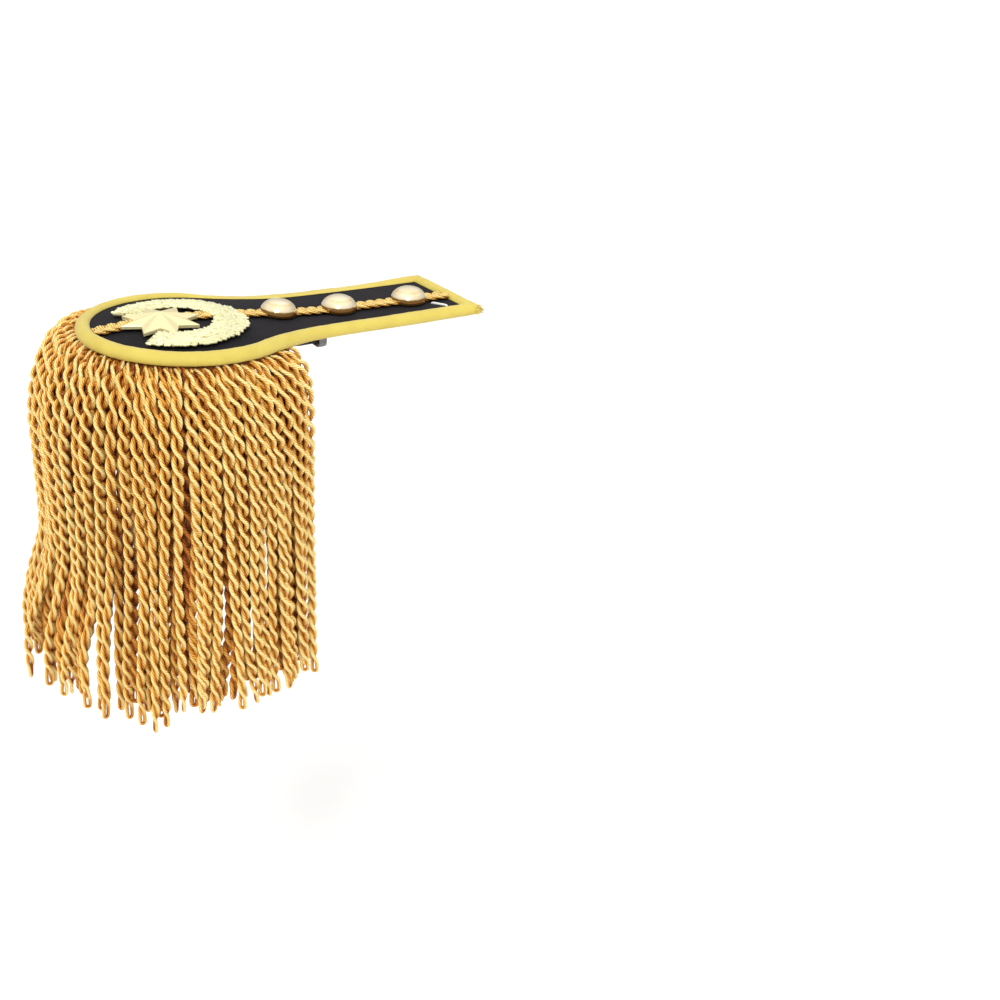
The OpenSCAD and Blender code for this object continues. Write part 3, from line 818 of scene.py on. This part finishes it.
# Where the hanging cords part: angle, how far the tips lean away, and the angle over which it fades
partings = [(-94, 4.6, 10), (-116, 3.6, 8), (-137, 3.6, 8), (-61, 2.2, 8), (-160, 2.4, 7), (176, 2.2, 8),
            (131, 2.2, 9), (101, 2.4, 9), (70, 2.0, 9)]
headDrop = board["thick"] + 2 * board["gap"] + binding["lip"]
rimZ = board["thick"] - board["crown"]
arcStart = math.radians(fringe["neckStop"])
arcSpan = 2 * math.pi - 2 * arcStart


def angleFrom(a, degrees):
    return (math.degrees(a) - degrees + 180) % 360 - 180


# How near the angle a is to a place round the pad: 1 there, 0 well away; place and width are in degrees
def near(a, degrees, width):
    return float(bell(angleFrom(a, degrees), width))


# How far the cords stand out from the pad
def flare(a):
    middle = (fringe["flareEnd"] + fringe["flareNeck"]) / 2
    swing = (fringe["flareEnd"] - fringe["flareNeck"]) / 2
    return middle - swing * math.cos(a) - fringe["flareDip"] * near(a, -85, 33)


def headTop(a):
    return float(topZ(padR * math.cos(a), padR * math.sin(a))) - headDrop


# Middle line of one cord: out from under the pad, over the bend, and down to its tip
def cordLine(a, inward, tipZ, stray, spacing):
    z0 = headTop(a) - 0.4 * fringe["headThick"]
    r0 = padR - fringe["headIn"] / 2
    turn = np.linspace(0, 1, fringe["bendSteps"])
    reach = padR + flare(a) - inward + stray["stand"]
    bend = fringe["bend"] * (1 - 0.42 * stray["neck"])
    lift = fringe["lift"] * stray["shoulder"] * np.sin(math.pi * turn ** 0.8) ** 1.4
    bendR = r0 + (reach - r0) * np.sin(turn * math.pi / 2)
    bendZ = z0 - bend * (1 - np.cos(turn * math.pi / 2)) - inward * 0.35 * turn + lift
    down = np.linspace(0, 1, fringe["hangSteps"])[1:]
    hangZ = bendZ[-1] + down * (tipZ - bendZ[-1])
    r = np.concatenate([bendR, np.full(len(down), reach)])
    z = np.concatenate([bendZ, hangZ])
    s = np.concatenate([np.zeros(len(turn)), down])
    early = np.concatenate([turn ** 2, np.ones(len(down))])
    wave = np.sin(stray["rate"] * s + stray["phase"]) * (0.2 * early + 0.8 * s)
    side = stray["sideTip"] * s ** 1.5 + stray["ripple"] * wave
    side = side + stray["parting"] * (0.08 * early + 0.92 * s ** 0.9)
    r = r + stray["outTip"] * s ** 2 + stray["kick"] * smoothStep((s - 0.44) / 0.42)
    r = r - stray["waist"] * np.sin(math.pi * np.clip(s * 1.25, 0, 1))
    r = r + stray["outRipple"] * np.sin(stray["rate"] * 0.8 * s + stray["phase2"]) * early
    x = r * math.cos(a) - side * math.sin(a) + stray["leanX"] * s ** 1.4
    y = r * math.sin(a) + side * math.cos(a)
    line = np.stack([x, y, z], 1)
    steps = np.linalg.norm(np.diff(line, axis=0), axis=1)
    length = np.concatenate([[0], np.cumsum(steps)])
    wanted = np.arange(0, length[-1], spacing)
    return np.stack([np.interp(wanted, length, line[:, k]) for k in range(3)], 1), wanted


# Two plies twisted round each other, which are one yarn that turns back in a small loop at the tip
def addCord(shape, a, inward, tipZ, stray, sides, spacing, tone, extraShade):
    line, s = cordLine(a, inward, tipZ, stray, spacing)
    tangent = unit(np.gradient(line, axis=0))
    off = angleFrom(a, fringe["facing"])
    faced = a - math.radians(fringe["turnIn"] * off * (1 - float(smoothStep((abs(off) - 80) / 80))))
    across = np.array([-math.sin(faced), math.cos(faced), 0.0])
    across = unit(across - (tangent @ across)[:, None] * tangent)
    outward = np.cross(across, tangent)
    fromTip = s[-1] - s
    crowd = np.clip(0.56 + 0.44 * s / fringe["crowdEnd"], 0.56, 1.0) * (1 - 0.16 * bell(fromTip, 5 * mm))
    low = smoothStep((s - fringe["tighten"][0]) / fringe["tighten"][1])

    # a size that changes down the cord
    def change(upper, lower):
        return upper * (1 - low) + lower * low

    openR = change(*fringe["open"]) * crowd * stray["loose"]
    openR = openR * (1 + 0.14 * np.sin(s * 110 + stray["phase"]) + 0.3 * bell(fromTip - 1.2 * mm, 2.2 * mm))
    plyR = change(*fringe["ply"]) * crowd * stray["stout"]
    flat = change(*fringe["flat"])
    pitch = change(fringe["pitch"], fringe["lowPitch"])
    twisted = np.minimum(s, s[-1] - fringe["loop"]) - fringe["firstLobe"]
    turns = twisted / fringe["pitch"] + np.cumsum(1 / pitch - 1 / fringe["pitch"]) * spacing
    phi = stray["twist"] + 2 * math.pi * turns * stray["pitch"]
    phi = phi - fringe["snap"] * np.sin(2 * phi)     # plies lie side by side, then cross quickly
    away = across * np.cos(phi)[:, None] + outward * np.sin(phi)[:, None]
    loopAngle = np.linspace(0, math.pi, 9)[1:-1]
    loopAway = away[-1] * np.cos(loopAngle)[:, None] + tangent[-1] * np.sin(loopAngle)[:, None]
    points = np.concatenate([line + away * openR[:, None], line[-1] + openR[-1] * loopAway,
                             (line - away * openR[:, None])[::-1]])
    facing = np.concatenate([away, loopAway, -away[::-1]])

    # down one ply, round the loop and up the other
    def thereAndBack(values, atLoop):
        return np.concatenate([values, np.full(len(loopAngle), atLoop), values[::-1]])

    wide = thereAndBack(flat, flat[-1])[:, None, None]
    rings = tubeRings(points, facing, thereAndBack(plyR, plyR[-1]), sides, wide)
    beside = thereAndBack(np.cos(phi) ** 2, 0.5)[:, None]
    inner = np.clip((1 - np.cos(roundAngles(sides))) / 2, 0, 1)[None]
    # painted light: a ply's inner face is darker, darker still where the plies cross, and lighter where they
    # lie side by side
    depth = inner * (1 - 0.36 * beside) + 0.1 * (1 - beside)
    # painted shade on the hidden layers, easing off lower down the cord
    fade = extraShade * (1 - 0.65 * smoothStep((s - fringe["brighten"][0]) / fringe["brighten"][1]))
    fade = thereAndBack(fade, fade[-1])[:, None]
    shape.addRings(rings, caps=True, values={"depth": depth, "tone": tone, "extraShade": fade})


# What makes one cord hang otherwise than its neighbours
def strayFor(a, layer, turnShare, follow, odd):
    group = math.sin(19 * a + 0.8) * 1.1 + math.sin(6 * a + 2.1) * 0.9
    parting = 0
    for place, lean, fade in partings:
        away = angleFrom(a, place)
        parting += math.copysign(lean, away) * math.exp(-abs(away) / fade) * (1 - near(a, place, 2.5))
    kick = near(a, 180, 48) * max(0.3, rng.normal(1.0, 0.3))
    neck = min(1, near(a, -fringe["neckStop"], 26) + near(a, fringe["neckStop"], 26))
    return {"sideTip": (group + rng.normal(0, 2.8)) * mm, "parting": parting * follow * mm,
            "ripple": rng.uniform(0.4, 1.5) * mm, "rate": rng.uniform(3.5, 9.5),
            "phase": rng.uniform(0, 6.28), "outTip": (rng.normal(0.2, 1.4) - 0.4 * neck) * mm,
            "kick": fringe["kick"] * kick, "waist": fringe["waist"] * near(a, 180, 50),
            "outRipple": rng.uniform(0.1, 0.8) * mm, "leanX": -1.5 * neck * mm,
            "phase2": rng.uniform(0, 6.28), "stand": rng.normal(0, 0.5) * mm, "neck": neck,
            "shoulder": 0.2 + 0.8 * near(a, 148, 38),
            "twist": 2 * math.pi * turnShare + 0.9 * odd + rng.normal(0, 0.5 if layer == 0 else 1.0),
            "pitch": 1 + rng.normal(0, 0.08), "loose": rng.uniform(0.88, 1.12),
            "stout": (1, 1, 1.25, 1.35)[layer]}


def makeFringe():
    material = yarnFinish("gold_cord", fringe["shades"], *fringe["threads"])
    for layer, (name, count, inward, sides, spacing, parts, extraShade, turnShare, follow) in enumerate(layers):
        shapes = [Shape() for _ in range(parts)]
        for i in range(count):
            a = arcStart + arcSpan * (i + 0.5 + rng.normal(0, 0.07)) / count
            tipZ = rimZ - fringe["drop"] + fringe["tipRise"] * math.sin(a) ** 2
            tipZ += fringe["tipShort"] * near(a, 168, 34) + abs(rng.normal(0, fringe["tipOdd"]))
            tipZ += fringe["innerShort"] * (layer > 0)
            stray = strayFor(a, layer, turnShare, follow, i % 2)
            tone = rng.uniform(0, 1)
            addCord(shapes[i * parts // count], a, inward, tipZ, stray, sides, spacing, tone, extraShade)
        for part, shape in enumerate(shapes):
            shape.build("fringe_%s_%d" % (name, part + 1), material, "fringe_gold", ["fringe"])


# The tape under the pad's edge, from which all the cords hang
def makeHeading():
    inner, outer, thick = padR - fringe["headIn"], padR - fringe["headOut"], fringe["headThick"]
    section = [(inner, 0), (outer, 0), (outer + 0.4 * mm, -thick * 0.5), (outer, -thick), (inner, -thick),
               (inner - 0.3 * mm, -thick * 0.5)]
    rows, steps = [], 140
    for i in range(steps + 1):
        a = arcStart + arcSpan * i / steps
        rows.append([(r * math.cos(a), r * math.sin(a), headTop(a) + h) for r, h in section])
    shape = Shape()
    # the tape is coloured dark brown all over: painted shade for its place under the pad's edge
    shape.addRings(rows, caps=True, values={"depth": 0.6, "tone": 0.5})
    material = yarnFinish("gold_tape", fringe["tapeShades"], *fringe["tapeThreads"])
    shape.build("heading_tape", material, "fringe_gold", ["fringe"])


makeFringe()
makeHeading()
print("fringe made")


# Webbing, buckle and the white tack
strap = {"width": 20 * mm, "thick": 1.6 * mm, "startX": 6 * mm, "sewn": 12 * mm, "level": 10 * mm,
         "ribs": 13, "ridge": 0.09 * mm, "thinEdge": 0.25 * mm,
         "buckleX": 51.5 * mm, "buckleLong": 3.7 * mm, "buckleDrop": 9.5 * mm, "buckleWall": 1.4 * mm,
         "buckleBevel": 0.6 * mm, "weld": 0.01 * mm,
         "black": (0.012, 0.012, 0.014), "fuzz": (0.055, 0.055, 0.062),
         "dull": (0.12, 0.12, 0.115), "bright": (0.27, 0.265, 0.255)}


def webbingFinish():
    finish = Finish("black_webbing")
    v = finish.uvParts()[1]
    place = finish.objectPlace()
    weft = finish.sine(v * 9000.0)
    fuzz = finish.noise(place, 2400.0, 3.0)
    tone = finish.spread(fuzz, 0.3, 0.8) * 0.6 + weft * 0.12
    shade = finish.ramp(tone, [(0.0, strap["black"]), (1.0, strap["fuzz"])])
    normal = finish.bump(weft * 0.35 + fuzz * 0.5, 0.12 * mm)
    return finish.surface({"Base Color": shade, "Roughness": 0.62, "Normal": normal, "Sheen Weight": 0.2})


def makeWebbing():
    half, thick, gap = strap["width"] / 2, strap["thick"], board["gap"]
    wall = strap["buckleWall"]
    buckleHalf = half + 2 * gap + wall
    buckleTop = float(topZ(strap["buckleX"] + strap["buckleLong"] / 2, buckleHalf)) - board["thick"] - gap
    lowZ = buckleTop - strap["buckleDrop"] + wall + gap + thick
    sewnEnd = strap["startX"] + strap["sewn"]

    def underside(x):
        return float(topZ(x, half)) - board["thick"] - gap

    nearX = strap["buckleX"] - strap["buckleLong"] / 2
    farX = strap["buckleX"] + strap["buckleLong"] / 2
    levelX = nearX - strap["level"]
    line = [(strap["startX"], underside(strap["startX"])),
            (sewnEnd - 1 * mm, underside(sewnEnd) - 0.8 * gap),
            (sewnEnd + 4 * mm, underside(sewnEnd) - 1.4 * mm),
            (levelX - 4 * mm, lowZ + 1.5 * mm), (levelX + 2 * mm, lowZ + 0.1 * mm),
            (nearX, lowZ), (farX, lowZ)]
    across = np.linspace(-1, 1, 27)
    sunk = strap["ridge"] * (1 - np.cos(math.pi * strap["ribs"] * across))
    sunk = sunk + strap["thinEdge"] * np.abs(across) ** 14
    rows = []
    for x, z in roundThrough(line, 10):
        upper = [(x, half * c, z - down) for c, down in zip(across, sunk)]
        lower = [(x, half * c, z - thick + down) for c, down in zip(across, sunk)]
        rows.append(upper + lower[::-1])
    shape = Shape()
    shape.addRings(rows, caps=True)
    shape.build("woven_webbing", webbingFinish(), "black_webbing", ["under_strap"])


def buckleFinish():
    finish = Finish("satin_nickel")
    place = finish.objectPlace()
    worn = finish.noise(place, 380.0, 4.0)
    brush = finish.noise(place, 2600.0, 2.0)
    shade = finish.ramp(worn, [(0.35, strap["dull"]), (0.7, strap["bright"])])
    normal = finish.bump(brush * 0.4 + worn, 0.03 * mm)
    return finish.surface({"Base Color": shade, "Metallic": 1.0, "Normal": normal,
                           "Roughness": finish.spread(worn, 0.3, 0.7) * 0.2 + 0.28})


def dressBuckle():
    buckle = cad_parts["buckle"]
    buckle.data.materials.clear()
    buckle.data.materials.append(buckleFinish())
    weld = buckle.modifiers.new("weld", "WELD")
    weld.merge_threshold = strap["weld"]
    softEdge(buckle, strap["buckleBevel"], 40)


# The white stitch through the binding at the cut end
tack = {"from": (100.6 * mm, -9.6 * mm), "to": (104.2 * mm, -15.4 * mm), "radius": 0.5 * mm,
        "shade": (0.62, 0.62, 0.60), "white": (0.9, 0.9, 0.88)}


def makeTack():
    finish = Finish("white_thread")
    u, v = finish.uvParts()
    twist = finish.noise(finish.combine(u * 6.0 + v * 2500.0, v * 300.0), 1.0, 2.0)
    shade = finish.ramp(twist, [(0.3, tack["shade"]), (0.7, tack["white"])])
    normal = finish.bump(twist, 0.1 * mm)
    material = finish.surface({"Base Color": shade, "Roughness": 0.5, "Normal": normal})
    t = np.linspace(0, 1, 24)
    x = tack["from"][0] + t * (tack["to"][0] - tack["from"][0])
    y = tack["from"][1] + t * (tack["to"][1] - tack["from"][1]) + 0.1 * mm * np.sin(math.pi * t)
    z = topZ(x, y) + tack["radius"] * (1.3 * np.clip(5 * np.sin(math.pi * t), 0, 1) - 0.8)
    shape = Shape()
    up = np.broadcast_to(np.array([0, 0, 1.0]), (len(t), 3))
    shape.addRings(tubeRings(np.stack([x, y, z], 1), up, tack["radius"], 10), caps=True)
    shape.build("white_tack", material, "yellow_binding")


fray = {"threads": 70, "longest": 2.1 * mm, "radius": 0.17 * mm, "spread": 1.9 * mm}


# Loose ends of the fabric at the front corner of the cut end
def makeFray():
    shape = Shape()
    cornerX, cornerY = endX - 1.0 * mm, -board["endWidth"] / 2 + 1.0 * mm
    for _ in range(fray["threads"]):
        turn = math.radians(rng.normal(-38, 34))
        x = cornerX + rng.uniform(-fray["spread"], 0.4 * fray["spread"])
        y = cornerY + rng.uniform(-0.5 * fray["spread"], 0.8 * fray["spread"])
        start = np.array([x, y, float(topZ(x, y)) + rng.uniform(-1.6, 1.0) * mm])
        way = np.array([math.cos(turn), math.sin(turn), rng.normal(-0.1, 0.35)])
        curl = np.array([-way[1], way[0], rng.normal(0, 0.6)]) * rng.normal(0, 0.5)
        t = np.linspace(0, 1, 9)[:, None]
        line = start + (way * t + curl * t * t) * fray["longest"] * rng.uniform(0.35, 1.0)
        up = np.broadcast_to(np.array([0.1, 0.05, 1.0]), line.shape)
        rings = tubeRings(line, up, fray["radius"] * (1 - 0.5 * t[:, 0]), 6)
        # the loose threads take the binding's finish with little of its painted underside shade
        shape.addRings(rings, caps=True, values={"low": 0.1})
    shape.build("frayed_corner", bindingFinish(), "yellow_binding")


makeWebbing()
dressBuckle()
makeFray()
makeTack()
print("webbing, buckle and tack made")
